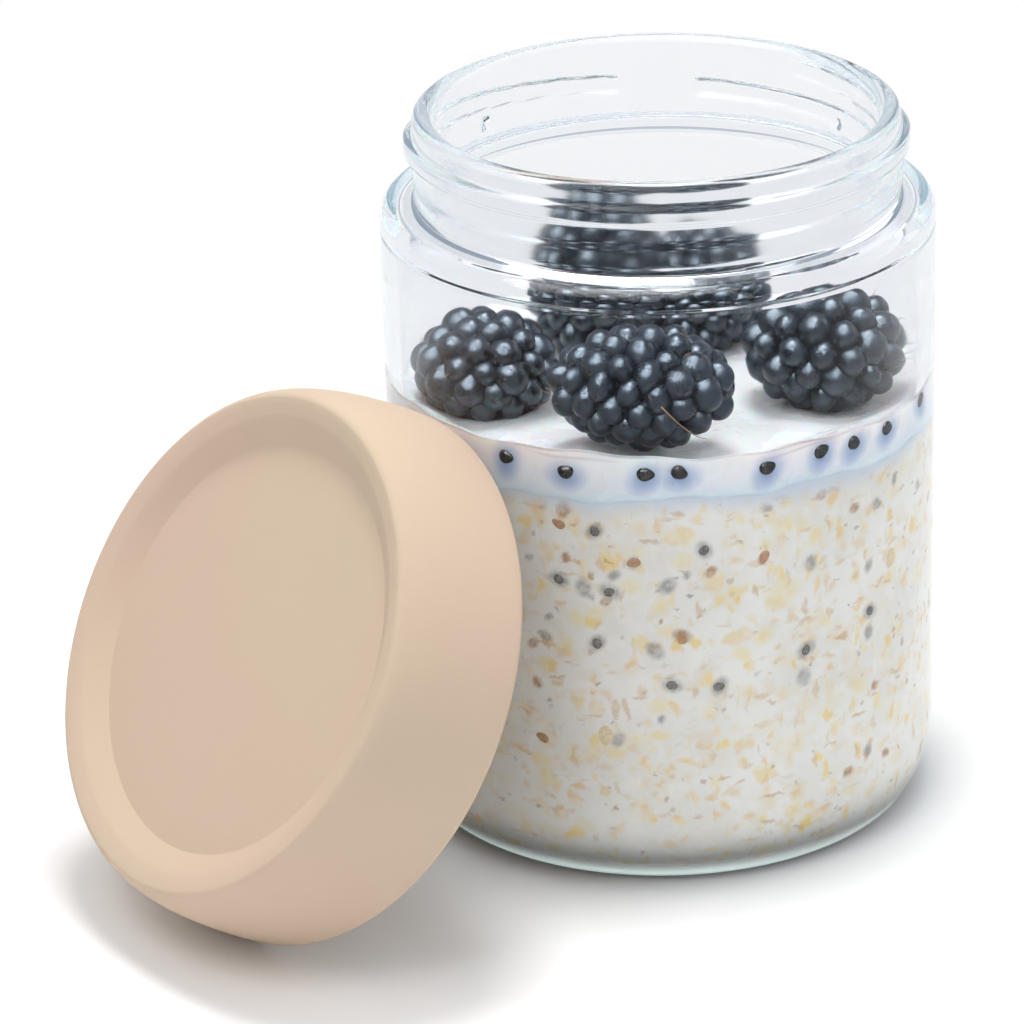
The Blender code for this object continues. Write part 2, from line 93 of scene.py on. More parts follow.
# Glass jar. Its outer sizes come from the frame.
GLASS_WALL = 0.0026
BASE_THICKNESS = 0.002
HEEL_WIDTH = 0.0064
HEEL_HEIGHT = 0.014
INNER_HEEL_WIDTH = 0.0054
FOOT_WIDTH = 0.002
PUSH_UP = 0.0009
SHOULDER_HEIGHT = 0.099
SHOULDER_CORNER = 0.0021
SHOULDER_THICKNESS = 0.0018
# Bead inside the shoulder: height, rise and half width.
INNER_BEAD = (0.0946, 0.0003, 0.0006)
NECK_RADIUS = 0.0376
NECK_WALL = 0.0033
LIP_ROUNDING = 0.0014
BEAD_ROUNDING = 0.0004
UNDER_ROUNDING = 0.0012
BORE_ROUNDING = 0.0005
NECK_ROOT_ROUNDING = 0.001
# Rows of faces on the neck, for the thread.
JAR_ROW = 0.0004

# Screw finish of the neck.
THREAD_START = 34.0
# Degrees from its start: the thread's depth under the rim, how far it stands out and its half width.
THREAD_PATH = [(0, 0.0032, 0.0006, 0.0014), (40, 0.0046, 0.0013, 0.0019), (70, 0.0049, 0.0014, 0.0019),
               (110, 0.0048, 0.0009, 0.0018), (160, 0.0048, 0.0007, 0.0018), (210, 0.0048, 0.0009, 0.0018),
               (250, 0.005, 0.0014, 0.0019), (300, 0.0074, 0.0012, 0.0017),
               (340, 0.0089, 0.0012, 0.0017), (380, 0.0096, 0.001, 0.0017), (430, 0.0102, 0.0004, 0.0019),
               (520, 0.0113, 0.0003, 0.0022), (600, 0.0122, 0.0003, 0.0022)]
THREAD_FLANK = 0.0008
# Gap in the thread: its bearing, its half width, and the degrees from the start after which it comes.
THREAD_GAP_BEARING = 54.0
THREAD_GAP_HALF = 8.0
THREAD_GAP_FROM = 270.0
THREAD_TAPER = 3.5
THREAD_RUN_OUT = 40.0
# Two small moulding marks on the neck: bearing, depth under the rim, half angle, half height and rise.
NECK_MARKS = [(102.0, 0.0108, 2.6, 0.0016, 0.0014), (2.0, 0.0108, 2.6, 0.0016, 0.0014)]

# Lid, in its own frame: its open rim is at height 0 and its face looks along the axis.
LID_DEPTH = 0.0222
LID_RADIUS = 0.0421
LID_CREST_RADIUS = 0.0386
LID_INNER_RADIUS = 0.0394
LID_DISC_RADIUS = 0.0318
LID_DISC_HEIGHT = 0.0189
LID_CEILING = 0.0163
# Corner between disc and band, then the crest's rounding, how far it reaches in and how low the band starts.
LID_CORNER = 0.0005
LID_CREST_ROUNDING = 0.0032
LID_CREST_FLAT = 0.0005
LID_BAND_DROP = 0.0008
# The side bulges from this height up to the crest, and its foot is rounded by a width and a height.
LID_SIDE_START = 0.0032
LID_FOOT = (0.0018, 0.002)
LID_CEILING_ROUNDING = 0.0008
# Inner rib: its two radii, how far it stands down and its rounding.
LID_RIB = (0.0315, 0.0325, 0.0012, 0.0003)
# Rows of faces on the lid, and inside it, where the lugs are.
LID_ROW = 0.002
LID_INNER_ROW = 0.0006
LUGS = 3
LUG_LEVEL = 0.0063
LUG_HEIGHT = 0.0012
LUG_HALF_WIDTH = 0.002
LUG_SPAN = 22.0
SEAL_MIDDLE = 0.0149
SEAL_RADII = (0.0328, 0.0379)
SEAL_HEIGHTS = (0.0138, 0.016)
SEAL_ROUNDING = 0.0005

# Contents. Their edges at the glass are wavy about these heights.
OATS_TOP = 0.0645
YOGURT_TOP = 0.0715
# Each wave's height, count and phase.
OATS_EDGE_WAVES = ((0.0005, 3, 1.0), (0.0004, 11, 0.0), (0.0002, 29, 0.0))
YOGURT_EDGE_WAVES = ((0.0005, 2, 0.6), (0.0003, 7, 0.0), (0.00015, 23, 2.0))
# The oats' upper part, from this height, follows the wavy edge.
OATS_WAVES_FROM = 0.055
# Rows of faces up the sides of the food, rings on the yogurt, and its lip at the glass.
OATS_ROW = 0.000401
YOGURT_ROW = 0.000181
YOGURT_RING = 0.000481
YOGURT_LIP = 0.0002
# The yogurt is dished: lower inside than at the glass, with a bank this wide.
YOGURT_DISH = 0.0031
YOGURT_BANK = 0.0065
# The yogurt climbs around each berry by a height that fades over a distance, and hides its underside.
BERRY_CLIMB = (0.0005, 0.0012)
BERRY_SINK = 0.0012
# Width of the thin grey line of painted shade where the yogurt's film ends on the glass.
SHADE_LINE_WIDTH = 0.00022
# Blue tint low in the yogurt: the height where it starts, how far down it grows, and its strength.
BLUE_TINT_BAND = (0.0712, 0.0052, 0.2)
# Blue tint around each seed: how much lower than the seed, its radius, its strength and its softness.
SEED_TINT = (0.001, 0.0024, 0.72, 1.8)
# Paint on the yogurt keeps to the glass: how far in it starts, and over what width it grows.
PAINT_DEPTH = (0.0012, 0.001)

# How far the food reaches past the glass's inner side, so that no air gap shows.
TOUCH = 0.00012
# Radii along each berry, across it and upwards, its heading, its number of drupelets and its way from its
# solid: the tall one leans to the right, as the camera sees it, and some are pressed into the yogurt.
BERRIES = {
    "front": ((0.0145, 0.0095, 0.0099), 139.2, 70, (0, 0, 0.0009)),
    "left": ((0.0118, 0.0102, 0.0098), 139.2, 58, (0, 0, -0.0006)),
    "right": ((0.013, 0.0107, 0.0104), 139.2, 60, (0, 0, 0)),
    "tall": ((0.0116, 0.0106, 0.0162), 139.2, 90, (0.0023, -0.0017, -0.0015)),
    "back": ((0.0114, 0.0102, 0.0118), -22.2, 72, (0, 0, -0.0012)),
}

# Drupelets: faces around and along, size as a share of spacing, stretch, height as a share of size, depth.
DRUPELET_STEPS = (26, 12)
DRUPELET_SIZE = (0.38, 0.6)
DRUPELET_STRETCH = (0.95, 1.15)
DRUPELET_HEIGHT = (1.1, 1.35)
DRUPELET_DEPTH = (-0.0002, 0.0006)
# The core under them is smaller than the berry by this share of their spacing.
CORE_DEPTH = 0.62
# Power in the formula for an ellipsoid's area, and a hexagon's area as a share of its width squared.
AREA_POWER = 1.6
HONEYCOMB = 0.866
# Drupelets' places: how uneven they start, then how often and how far they push each other apart.
SPREAD_JITTER = 0.06
SPREAD_ROUNDS = 80
SPREAD_STEP = 0.12
SPREAD_FADE = 0.96
# Dry styles: how many are tried on each berry, and ranges of their length, curl and radius.
STYLES = 14
STYLE_LENGTH = (0.001, 0.0022)
STYLE_CURL = (0.001, 0.0026)
STYLE_RADIUS = (0.00004, 0.00008)
GOLDEN_RADIUS = 0.00013

# Soft spots in the oats, where seeds, bran and germ lie just under the milk: bearing, height and radius.
SPOTS = {"grey": [
    (212.0, 0.0514, 0.0014), (217.3, 0.0501, 0.0013), (223.5, 0.0495, 0.0014), (219.5, 0.0414, 0.0013),
    (232.4, 0.0402, 0.0013), (209.3, 0.0444, 0.0006), (208.5, 0.0412, 0.0009), (224.0, 0.0525, 0.0009),
    (221.2, 0.0505, 0.0005), (219.2, 0.0487, 0.0005), (205.1, 0.0538, 0.0006), (206.2, 0.0578, 0.0003),
    (243.0, 0.0564, 0.0013), (239.3, 0.0525, 0.0006), (235.1, 0.0508, 0.0013), (256.7, 0.0622, 0.0008),
    (292.8, 0.0598, 0.0008), (304.3, 0.0556, 0.0008), (286.1, 0.0575, 0.0009), (283.5, 0.0476, 0.0009),
    (284.2, 0.0411, 0.0013), (283.6, 0.0365, 0.0011), (266.5, 0.0379, 0.0014), (245.9, 0.0349, 0.0013),
    (235.3, 0.0348, 0.0013), (265.3, 0.0329, 0.0013), (267.1, 0.0516, 0.0011), (220.2, 0.0598, 0.0013),
], "brown": [
    (213.3, 0.0627, 0.0013), (228.1, 0.0547, 0.0009), (213.5, 0.0547, 0.0008), (219.1, 0.0522, 0.0006),
    (222.2, 0.0481, 0.0008), (205.6, 0.0396, 0.0009), (206.3, 0.0331, 0.0009), (244.4, 0.0529, 0.0009),
    (255.7, 0.054, 0.0008), (238.1, 0.0425, 0.0013), (242.0, 0.0456, 0.0003), (233.8, 0.045, 0.0003),
    (279.1, 0.0583, 0.0009), (269.9, 0.0623, 0.0009), (296.7, 0.0314, 0.0006),
], "yellow": [
    (215.9, 0.0448, 0.0014), (220.0, 0.046, 0.0013), (227.4, 0.0509, 0.0013), (208.3, 0.0366, 0.0011),
    (233.0, 0.0474, 0.0009), (213.3, 0.0402, 0.0013), (256.2, 0.056, 0.0011), (250.9, 0.061, 0.0009),
    (268.6, 0.0559, 0.0014), (260.6, 0.0589, 0.0016), (258.2, 0.0518, 0.0009), (249.1, 0.0494, 0.0009),
    (250.9, 0.0388, 0.0013), (271.2, 0.041, 0.0009), (233.8, 0.048, 0.0011), (238.5, 0.055, 0.0014),
    (255.6, 0.041, 0.0014), (264.6, 0.0542, 0.0006), (260.7, 0.048, 0.0022),
]}
# Each kind of spots: strength, colour as seen on screen, softness, and how many random ones there are, their
# seed and their radius.
SPOT_LOOKS = {
    "grey": (0.62, (104, 103, 103), 0.9, 30, 5, 0.0011),
    "brown": (0.9, (178, 138, 98), 0.5, 30, 6, 0.0009),
    "yellow": (0.5, (238, 220, 150), 1.0, 50, 7, 0.0014),
}

# Seeds and flakes: how their CAD nodes' names start, slot, reach past the glass's inner side, half thickness,
# taper and growth over the solids.
GRAINS = {
    "chia_in_yogurt": ("yogurt_chia_seed", "dark_chia", 0.0006, 0.0006, 0.2, 1.4),
    "chia_in_oats": ("oats_chia_seed", "grey_chia", 0.00024, 0.0004, 0.15, 1.3),
    "flax_in_oats": ("flax_seed", "flax", 0.00025, 0.0003, 0.3, 1.0),
    "flakes_in_oats": ("oat_flake", "oat_flake", 0.00019, 0.0003, 0.1, 1.0),
}

# Random spots, low down all round and higher where the photograph doesn't show: bearings and heights.
LOW_SPOTS = ((0, 360), (0.008, 0.031))
HIGH_SPOTS = ((312, 560), (0.031, 0.061))
# How far the flakes' outlines are bent.
FLAKE_BEND = 0.0022
# A grey spot this near to a seed is drawn around it.
SEED_REACH = 0.0025

# Steps around the lid. The jar and its food have twice as many.
AROUND = 288
# The food's edges are sharp from this angle on.
EDGE_ANGLE = 60


# Meshes


def smooth(share):
    """Share from 0 to 1 that starts and ends softly."""
    return share * share * (3 - 2 * share)


def unit(vectors):
    return vectors / np.linalg.norm(vectors, axis=-1, keepdims=True)


def turning(heading):
    """Matrix that turns about the vertical by an angle in degrees."""
    turn = radians(heading)
    return np.array([[cos(turn), -sin(turn), 0], [sin(turn), cos(turn), 0], [0, 0, 1]])


def standing(centre):
    """Matrix that moves the Z axis to the jar's axis."""
    return Matrix.Translation((*centre, 0.0))


def waves(place, shapes):
    """Sum of waves, each with a height, a count and a phase."""
    return sum(height * np.sin(count * place + phase) for height, count, phase in shapes)


def new_object(name, data):
    item = bpy.data.objects.new(name, data)
    bpy.context.scene.collection.objects.link(item)
    return item


def new_piece(name, vertices, faces, material, slot, body, *nodes):
    """Makes a smooth mesh piece that rides on a body and stands for CAD nodes."""
    mesh = bpy.data.meshes.new(name)
    mesh.from_pydata(vertices, [], faces)
    mesh.materials.append(material)
    mesh.shade_smooth()
    piece = new_object(name, mesh)
    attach(piece, body)
    if nodes:
        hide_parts(*nodes)
    return piece


def rounded(corners, steps):
    """Outline through (radius, height, rounding) corners, with an arc at each rounded one."""
    outline = []
    last = len(corners) - 1
    for index, (radius, height, rounding) in enumerate(corners):
        here = Vector((radius, height))
        if rounding == 0 or index in (0, last):
            outline.append((radius, height))
            continue
        before = (Vector(corners[index - 1][:2]) - here).normalized()
        after = (Vector(corners[index + 1][:2]) - here).normalized()
        half = before.angle(after) / 2
        reach = rounding / tan(half)
        middle = here + (before + after).normalized() * (rounding / sin(half))
        start = here + before * reach - middle
        end = here + after * reach - middle
        span = start.angle(end)
        for step in range(steps + 1):
            turn = step / steps * span
            spot = middle + (start * sin(span - turn) + end * sin(turn)) / sin(span)
            outline.append((spot.x, spot.y))
    return outline


def lathe(outline, around, swell=None):
    """Vertices and faces of an outline turned about the Z axis. An end on the axis becomes a pole."""
    radii, heights = np.array(outline).T
    bearings = 2 * np.pi * np.arange(around) / around
    r = np.repeat(radii[:, None], around, 1)
    z = np.repeat(heights[:, None], around, 1)
    if swell is not None:
        r = r + swell(r, z, np.degrees(bearings)[None, :])
    rows = np.stack([r * np.cos(bearings), r * np.sin(bearings), z], axis=2)
    # Each row's corners, and the first one again at its end. A pole has one corner alone.
    corners = [[row * around + (step % around if radius else 0) for step in range(around + 1)]
               for row, radius in enumerate(radii)]
    faces = [tuple(dict.fromkeys((low[step], high[step], high[step + 1], low[step + 1])))
             for low, high in zip(corners, corners[1:]) for step in range(around)]
    return rows.reshape(-1, 3), faces


def clean(piece, sharp=None):
    """Removes the loose copies at poles, turns all faces outwards and marks sharp edges."""
    work = bmesh.new()
    work.from_mesh(piece.data)
    bmesh.ops.remove_doubles(work, verts=work.verts[:], dist=1e-7)
    loose = [vertex for vertex in work.verts if not vertex.link_faces]
    bmesh.ops.delete(work, geom=loose, context="VERTS")
    bmesh.ops.recalc_face_normals(work, faces=work.faces[:])
    work.to_mesh(piece.data)
    work.free()
    if sharp is not None:
        piece.data.set_sharp_from_angle(angle=radians(sharp))


def turned_piece(name, outline, around, place, material, slot, body, node, swell=None, sharp=None):
    """Makes a piece that is turned about the Z axis and put in its place with a matrix."""
    vertices, faces = lathe(outline, around, swell)
    vertices = [place @ Vector(vertex) for vertex in vertices]
    piece = new_piece(name, vertices, faces, material, slot, body, node)
    clean(piece, sharp)
    return piece


# Materials


class Nodes:
    """Node tree of a material, or of the world."""

    def __init__(self, name, world=False):
        self.owner = (bpy.data.worlds if world else bpy.data.materials).new(name)
        self.owner.use_nodes = True
        self.tree = self.owner.node_tree
        self.shader = self.tree.nodes.get("Principled BSDF")
        self.output = self.tree.nodes["World Output" if world else "Material Output"]

    def add(self, kind, inputs=None, **settings):
        """Adds a node with its inputs, by name or number, and its settings, and gives its outputs."""
        node = self.tree.nodes.new("ShaderNode" + kind)
        for key, value in settings.items():
            setattr(node, key, value)
        for key, value in (inputs or {}).items():
            self.put(node.inputs[key], value)
        return node.outputs

    def put(self, socket, value):
        if isinstance(value, bpy.types.NodeSocket):
            self.tree.links.new(value, socket)
        else:
            socket.default_value = value

    def set(self, **inputs):
        """Sets the shader's inputs, named with underscores for spaces."""
        for key, value in inputs.items():
            self.put(self.shader.inputs[key.replace("_", " ")], value)

    def place(self):
        return self.add("TexCoord")["Object"]

    def height(self, place=None):
        return self.add("SeparateXYZ", {0: place or self.place()})["Z"]

    def painted(self, name):
        """Value that a mesh holds at its points."""
        return self.add("Attribute", attribute_name=name)["Fac"]

    def times(self, first, second):
        return self.math("MULTIPLY", first, second)

    def most(self, *values):
        most = values[0]
        for value in values[1:]:
            most = self.math("MAXIMUM", most, value)
        return most

    def math(self, operation, first, second, clamp=False):
        inputs = {0: first, 1: second}
        return self.add("Math", inputs, operation=operation, use_clamp=clamp)[0]

    def noise(self, scale, place=None, detail=2.0, roughness=0.5, distortion=0.0, output="Fac"):
        inputs = {"Scale": scale, "Detail": detail, "Roughness": roughness, "Distortion": distortion}
        inputs["Vector"] = place or self.place()
        return self.add("TexNoise", inputs)[output]

    def ease(self, value, low, high, new_low=0.0, new_high=1.0, kind="SMOOTHSTEP"):
        inputs = {"Value": value, "From Min": low, "From Max": high, "To Min": new_low, "To Max": new_high}
        return self.add("MapRange", inputs, interpolation_type=kind)["Result"]

    def mix(self, share, first, second):
        # The node's sockets for numbers and vectors come before those for colours.
        return self.add("Mix", {0: share, 6: first, 7: second}, data_type="RGBA")[2]

    def blend(self, share, first, second):
        """Surface of two shaders' outputs, the second's by a share."""
        mixed = self.add("MixShader", {0: share, 1: first[0], 2: second[0]})
        self.put(self.output.inputs["Surface"], mixed[0])

    def bump(self, height, distance, strength=1.0):
        inputs = {"Height": height, "Distance": distance, "Strength": strength}
        return self.add("Bump", inputs)["Normal"]


def rgb(*screen):
    """Colour written as seen on screen, 0 to 255, as a shader's linear colour."""
    shares = [value / 255 for value in screen]
    linear = [share / 12.92 if share <= 0.04045 else ((share + 0.055) / 1.055) ** 2.4 for share in shares]
    return (*linear, 1.0)


def glass_material():
    nodes = Nodes("clear_glass")
    smudges = nodes.noise(70, detail=4)
    ripples = nodes.noise(45, detail=1)
    # The thick base looks milky and a little green.
    height = nodes.height()
    above = nodes.ease(height, 0.0012, 0.006)
    frosted = nodes.ease(height, 0.0985, 0.101, 0.0, 0.09)
    colour = nodes.mix(above, (0.92, 0.98, 0.96, 1), (0.925, 0.927, 0.947, 1))
    # Painted glow: the foot emits light, standing in for light that runs down inside the wall and leaves
    # there.
    painted_foot_glow = nodes.mix(nodes.ease(height, 0.001, 0.004), (0.27, 0.34, 0.32, 1), (0, 0, 0, 1))
    nodes.set(Base_Color=colour, Transmission_Weight=nodes.ease(above, 0.0, 1.0, 0.5, 1.0), IOR=1.4,
              Emission_Color=painted_foot_glow, Emission_Strength=1.0, Specular_Tint=(0.2, 0.2, 0.2, 1),
              Roughness=nodes.math("ADD", nodes.ease(smudges, 0.4, 0.8, 0.02, 0.1), frosted),
              Normal=nodes.bump(ripples, 0.0004))
    # Lamps and scattered light pass straight through, so the food behind the glass is lit evenly.
    # Light that has bounced about in the glass many times leaves it too.
    path = nodes.add("LightPath")
    bounced = nodes.math("GREATER_THAN", path["Glossy Depth"], 1.5)
    passing = nodes.most(path["Is Shadow Ray"], path["Is Diffuse Ray"], bounced)
    # The thick base lets less light pass, so the jar stands on a darker shadow.
    passed = nodes.mix(nodes.ease(height, 0.001, 0.008), (0.2, 0.21, 0.21, 1), (0.99, 0.995, 0.995, 1))
    clear = nodes.add("BsdfTransparent", {"Color": passed})
    nodes.blend(passing, nodes.shader.outputs, clear)
    tint = nodes.add("VolumeAbsorption", {"Color": (0.6, 0.74, 0.8, 1), "Density": 26.0})
    nodes.put(nodes.output.inputs["Volume"], tint[0])
    return nodes.owner


def lid_material():
    nodes = Nodes("matte_beige")
    clouds = nodes.noise(18, detail=3)
    grain = nodes.noise(2600, detail=1)
    colour = nodes.mix(nodes.ease(clouds, 0.15, 0.85), rgb(209, 184, 165), rgb(205, 188, 163))
    nodes.set(Base_Color=colour, Roughness=nodes.ease(clouds, 0.15, 0.85, 0.6, 0.7),
              Normal=nodes.bump(grain, 0.00003, 0.5), Specular_IOR_Level=0.015)
    return nodes.owner


def silicone_material():
    nodes = Nodes("white_silicone")
    clouds = nodes.noise(60, detail=3)
    colour = nodes.mix(nodes.ease(clouds, 0.3, 0.7), rgb(216, 216, 212), rgb(207, 207, 203))
    nodes.set(Base_Color=colour, Roughness=nodes.ease(clouds, 0.3, 0.7, 0.45, 0.6))
    return nodes.owner


def berry_material():
    nodes = Nodes("berry_skin")
    own = nodes.painted("drupelet")
    bloom = nodes.noise(420, detail=3)
    dark = nodes.mix(own, (0.001, 0.003, 0.009, 1), (0.004, 0.003, 0.008, 1))
    colour = nodes.mix(nodes.ease(bloom, 0.35, 0.75, 0.0, 0.5), dark, (0.006, 0.01, 0.02, 1))
    nodes.set(Base_Color=colour, Roughness=nodes.ease(bloom, 0.3, 0.7, 0.25, 0.37),
              Specular_IOR_Level=0.75, Specular_Tint=(0.74, 0.89, 1.0, 1))
    return nodes.owner


def hair_material():
    nodes = Nodes("dry_styles")
    clouds = nodes.noise(900)
    nodes.set(Base_Color=nodes.mix(clouds, rgb(120, 84, 52), rgb(196, 158, 110)), Roughness=0.5)
    return nodes.owner


def seed_material(name, dark, light, roughness):
    nodes = Nodes(name)
    blotches = nodes.noise(1600, detail=3, distortion=1.0)
    nodes.set(Base_Color=nodes.mix(nodes.ease(blotches, 0.4, 0.65), dark, light), Roughness=roughness)
    return nodes.owner


def yogurt_material():
    nodes = Nodes("plain_yogurt")
    blue_tint = nodes.painted("blue_tint")
    lumps = nodes.noise(160, detail=3)
    white = nodes.mix(nodes.ease(lumps, 0.35, 0.7), rgb(252, 252, 252), rgb(247, 248, 250))
    colour = nodes.mix(blue_tint, white, rgb(112, 148, 200))
    # Painted shade: a thin grey line where the yogurt's film ends on the glass.
    line = nodes.times(nodes.painted("line"), nodes.ease(lumps, 0.3, 0.6, 0.35, 0.9))
    colour = nodes.mix(line, colour, rgb(132, 140, 150))
    nodes.set(Base_Color=colour, Roughness=nodes.ease(lumps, 0.3, 0.7, 0.2, 0.35),
              Normal=nodes.bump(lumps, 0.0004, 0.4), Subsurface_Weight=0.5, Subsurface_Scale=0.004)
    return nodes.owner


def oats_material():
    nodes = Nodes("soaked_oats")
    place = nodes.place()
    wobble = nodes.noise(420, place, detail=3, roughness=0.6, output="Color")
    bend = {0: wobble, 1: (FLAKE_BEND, FLAKE_BEND, FLAKE_BEND), 2: place}
    bent = nodes.add("VectorMath", bend, operation="MULTIPLY_ADD")[0]
    milk = nodes.noise(75, place, detail=4)
    colour = nodes.mix(nodes.ease(milk, 0.3, 0.7), rgb(240, 237, 231), rgb(230, 226, 218))
    # Each layer of flakes: cells a metre, stretch, turn, share of cells, softness, two colours and strength.
    layers = (
        (180, (1, 1, 1.3), 0.3, 0.5, 0.28, (238, 227, 198), (228, 216, 200), 0.8),
        (270, (1, 1.3, 1), 0.9, 0.5, 0.3, (238, 219, 168), (229, 209, 182), 0.8),
        (330, (1.5, 1, 1), -0.6, 0.28, 0.3, (242, 215, 122), (234, 201, 140), 0.85),
        (430, (1, 1, 1.4), 0.7, 0.22, 0.32, (236, 203, 142), (221, 193, 163), 0.75),
        (300, (1, 1, 3.2), 0.7, 0.07, 0.26, (212, 174, 116), (201, 170, 141), 0.65),
        (300, (3.4, 1, 1), 0.5, 0.06, 0.26, (217, 184, 130), (198, 163, 133), 0.6),
        (900, (1, 1, 1.3), 1.3, 0.04, 0.25, (176, 136, 98), (124, 114, 106), 0.6),
    )
    for number, (scale, stretch, turn, share, softness, first, second, strength) in enumerate(layers):
        turned = nodes.add("Mapping", {"Vector": bent, "Rotation": (turn, turn * 0.7, number * 1.1),
                                       "Location": (number * 0.37, 0.11, 0.0), "Scale": stretch})
        pattern = {"Vector": turned[0], "Scale": float(scale)}
        cells = nodes.add("TexVoronoi", pattern)
        rims = nodes.add("TexVoronoi", pattern, feature="DISTANCE_TO_EDGE")
        random_bits = nodes.add("SeparateColor", {"Color": cells["Color"]})
        edge = nodes.times(random_bits[2], 0.1)
        inside = nodes.ease(rims["Distance"], edge, nodes.math("ADD", edge, softness))
        chosen = nodes.math("LESS_THAN", random_bits[1], share)
        depth = nodes.ease(random_bits[0], 0.0, 1.0, 0.4 * strength, strength)
        flake = nodes.mix(random_bits[2], rgb(*first), rgb(*second))
        covered = nodes.times(nodes.times(inside, chosen), depth)
        colour = nodes.mix(covered, colour, flake)
    # Milk lies over some of the flakes.
    veil = nodes.ease(nodes.noise(330, place, detail=4), 0.48, 0.68, 0.0, 0.6)
    colour = nodes.mix(veil, colour, rgb(240, 237, 231))
    grain = nodes.ease(nodes.noise(900, place, detail=3), 0.35, 0.6, 0.6, 1.0)
    for name, (strength, shade, *_) in reversed(SPOT_LOOKS.items()):
        painted = nodes.times(nodes.painted(name), nodes.times(grain, strength))
        colour = nodes.mix(painted, colour, rgb(*shade))
    # The uppermost oats are clouded by yogurt.
    cloud = nodes.math("ADD", nodes.height(place), nodes.times(milk, 0.004))
    colour = nodes.mix(nodes.ease(cloud, 0.063, 0.0672), colour, rgb(208, 215, 226))
    nodes.set(Base_Color=colour, Roughness=nodes.ease(milk, 0.3, 0.7, 0.35, 0.5), Subsurface_Weight=0.15,
              Subsurface_Scale=0.002, Normal=nodes.bump(milk, 0.0003, 0.3))
    return nodes.owner


# Jar


def bump_shape(offset, half_width):
    """Rounded rise that is 1 at its middle and 0 at half_width from it."""
    inside = np.abs(offset) < half_width
    return np.where(inside, np.cos(np.pi / 2 * offset / half_width) ** 2, 0.0)


def neck_swell(radius, height, bearing, rim):
    """How far the thread and the moulding marks stand out from the neck's outer side."""
    path = np.array(THREAD_PATH)
    depth = rim - height
    thread = np.zeros(np.broadcast(height, bearing).shape)
    from_gap = np.abs((bearing - THREAD_GAP_BEARING + 180) % 360 - 180) - THREAD_GAP_HALF
    for turn in range(2):
        turned = (THREAD_START - bearing) % 360 + 360 * turn
        middle, rise, half = (np.interp(turned, path[:, 0], path[:, column]) for column in (1, 2, 3))
        flank = np.clip((half - np.abs(depth - middle)) / THREAD_FLANK, 0.0, 1.0)
        run_in = np.clip(turned / THREAD_RUN_OUT, 0.0, 1.0)
        run_out = np.clip((path[-1, 0] - turned) / THREAD_RUN_OUT, 0.0, 1.0)
        gap = np.where(turned > THREAD_GAP_FROM, np.clip(from_gap / THREAD_TAPER, 0.0, 1.0), 1.0)
        along = np.minimum(run_in * run_out, gap)
        thread = np.maximum(thread, rise * smooth(along) * smooth(flank))
    for mark_bearing, mark_depth, half_angle, half_height, mark_rise in NECK_MARKS:
        aside = (bearing - mark_bearing + 180) % 360 - 180
        mark = mark_rise * bump_shape(aside, half_angle) * bump_shape(depth - mark_depth, half_height)
        thread = np.maximum(thread, mark)
    outer = (radius > NECK_RADIUS - LIP_ROUNDING / 2) & (height > SHOULDER_HEIGHT + 0.0002)
    return np.where(outer & (depth > LIP_ROUNDING / 2), thread, 0.0)


def finer(outline, step, above=0.0):
    """Outline with its straight runs split into short ones.

    Long runs below a height get points near their ends alone, which keep their smooth shading straight.
    """
    points = [outline[0]]
    for (r0, z0), (r1, z1) in zip(outline, outline[1:]):
        length = hypot(r1 - r0, z1 - z0)
        parts = max(1, ceil(length / step))
        shares = [k / parts for k in range(1, parts + 1)]
        if min(z0, z1) < above and parts > 3:
            shares = [step / length, 1 - step / length, 1.0]
        points += [(r0 + (r1 - r0) * share, z0 + (z1 - z0) * share) for share in shares]
    return points


def ellipse(centre_r, centre_z, radius_r, radius_z, start, end, steps):
    turns = [radians(start + (end - start) * step / steps) for step in range(steps + 1)]
    return [(centre_r + radius_r * cos(turn), centre_z + radius_z * sin(turn)) for turn in turns]


def inner_heel(inner, steps, past=0.0):
    """Curve from the inner floor up to the inner wall, or a distance past them."""
    return ellipse(inner - INNER_HEEL_WIDTH, HEEL_HEIGHT, INNER_HEEL_WIDTH + past,
                   HEEL_HEIGHT - BASE_THICKNESS + past, -90, 0, steps)


def jar_outline(outer, rim):
    inner = outer - GLASS_WALL
    bore = NECK_RADIUS - NECK_WALL
    under = SHOULDER_HEIGHT - SHOULDER_THICKNESS
    bead_height, bead_rise, bead_half = INNER_BEAD
    outline = [(0.0, BASE_THICKNESS)] + inner_heel(inner, 16)
    neck = [(inner, HEEL_HEIGHT, 0), (inner, bead_height - bead_half, BEAD_ROUNDING),
            (inner - bead_rise, bead_height, BEAD_ROUNDING), (inner, bead_height + bead_half, BEAD_ROUNDING),
            (inner, under, UNDER_ROUNDING), (bore, under, BORE_ROUNDING), (bore, rim, LIP_ROUNDING),
            (NECK_RADIUS, rim, LIP_ROUNDING), (NECK_RADIUS, SHOULDER_HEIGHT, NECK_ROOT_ROUNDING),
            (outer, SHOULDER_HEIGHT, SHOULDER_CORNER), (outer, HEEL_HEIGHT, 0)]
    outline += finer(rounded(neck, 8), JAR_ROW, under)[1:]
    outline += ellipse(outer - HEEL_WIDTH, HEEL_HEIGHT, HEEL_WIDTH, HEEL_HEIGHT, 0, -90, 24)[1:]
    foot = outer - HEEL_WIDTH - FOOT_WIDTH
    outline += [(foot, 0.0), (foot - PUSH_UP, PUSH_UP * 0.6), (foot - 3 * PUSH_UP, PUSH_UP), (0.0, PUSH_UP)]
    return outline


def make_jar(centre, outer, rim):
    turned_piece("clear_jar", jar_outline(outer, rim), 2 * AROUND, standing(centre), glass_material(),
                 "clear_glass", "jar", "glass_jar", swell=lambda r, z, b: neck_swell(r, z, b, rim))


# Lid


